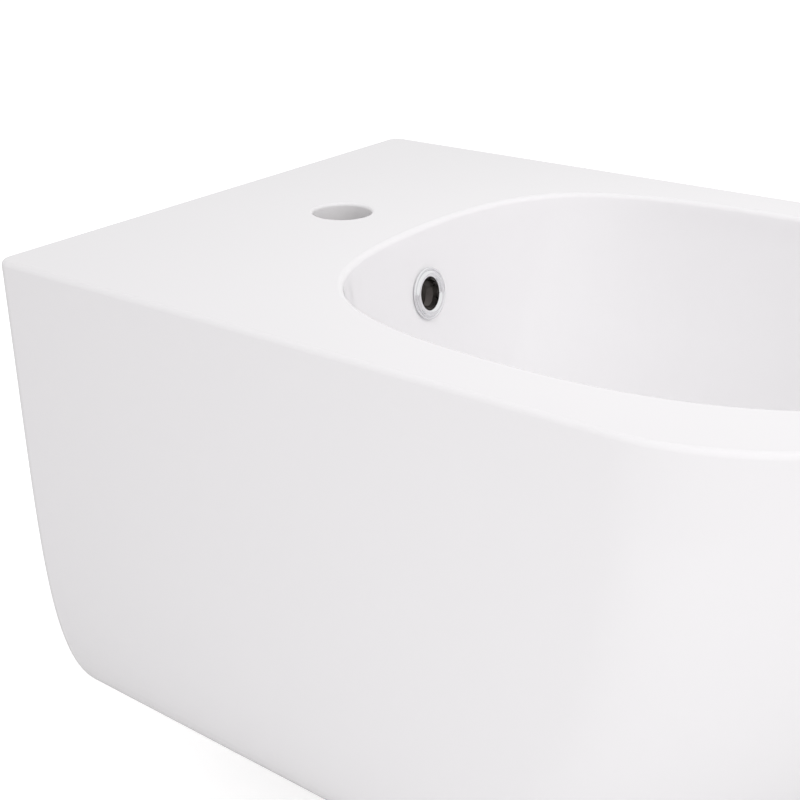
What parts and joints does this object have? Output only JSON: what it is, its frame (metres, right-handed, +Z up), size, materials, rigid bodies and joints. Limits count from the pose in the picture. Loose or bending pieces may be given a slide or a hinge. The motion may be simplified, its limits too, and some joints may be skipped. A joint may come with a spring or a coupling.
{
  "type": "wall-hung bidet",
  "caption": "White ceramic bidet that hangs on wall studs, with a deep oval bowl, an empty tap hole, a chrome overflow ring, a push plug and a bottle trap.",
  "frame": {"origin": "midway between the two wall studs, in the plane of the finished wall", "axes": "+Z up, +Y into the wall, +X to the right of a person who stands in front of the bidet and faces the wall; the bowl reaches out along -Y"},
  "size_m": [0.3602, 0.585, 0.3],
  "materials": {
    "white_glaze": "white, high gloss",
    "bright_chrome": "polished chrome plate on brass",
    "raw_brass": "turned brass, slightly dull",
    "black_rubber": "black, matt",
    "clear_grey_rubber": "grey, matt",
    "slip_plastic": "natural polythene, satin",
    "white_plastic": "white polypropylene, satin",
    "spring_steel": "stainless wire",
    "zinc_steel": "bright zinc plate"
  },
  "bodies": {
    "bidet": {"ceramic_deck": "white_glaze", "ceramic_rim": "white_glaze", "ceramic_bowl": "white_glaze", "ceramic_drain": "white_glaze", "ceramic_back": "white_glaze", "ceramic_skirt": "white_glaze", "overflow_ring": "bright_chrome", "waste_body": "bright_chrome", "waste_top_gasket": "clear_grey_rubber", "waste_lower_gasket": "black_rubber", "waste_slip_washer": "slip_plastic", "waste_back_nut": "raw_brass", "plug_cartridge": "slip_plastic", "plug_spring": "spring_steel", "trap_inlet_nut": "white_plastic", "trap_inlet_washer": "black_rubber", "trap_elbow": "white_plastic", "trap_side_nut": "white_plastic", "trap_side_washer": "black_rubber", "trap_body": "white_plastic", "trap_cup": "white_plastic", "trap_cup_seal": "black_rubber", "trap_outlet_nut": "white_plastic", "trap_outlet_washer": "black_rubber", "waste_pipe": "white_plastic", "fixing_studs": "zinc_steel", "fixing_sleeves": "slip_plastic", "fixing_washers": "zinc_steel", "fixing_nuts": "zinc_steel"},
    "plug": {"plug_cap": "bright_chrome", "plug_seal": "black_rubber", "plug_stem": "raw_brass"}
  },
  "joints": [
    {"name": "plug_slide", "type": "slide", "parent": "bidet", "child": "plug", "axis": [0, 0, 1], "range_m": [-0.008, 0], "stiffness_N_per_m": 300, "springref_m": 0.01, "deforming": ["plug_spring"]}
  ]
}
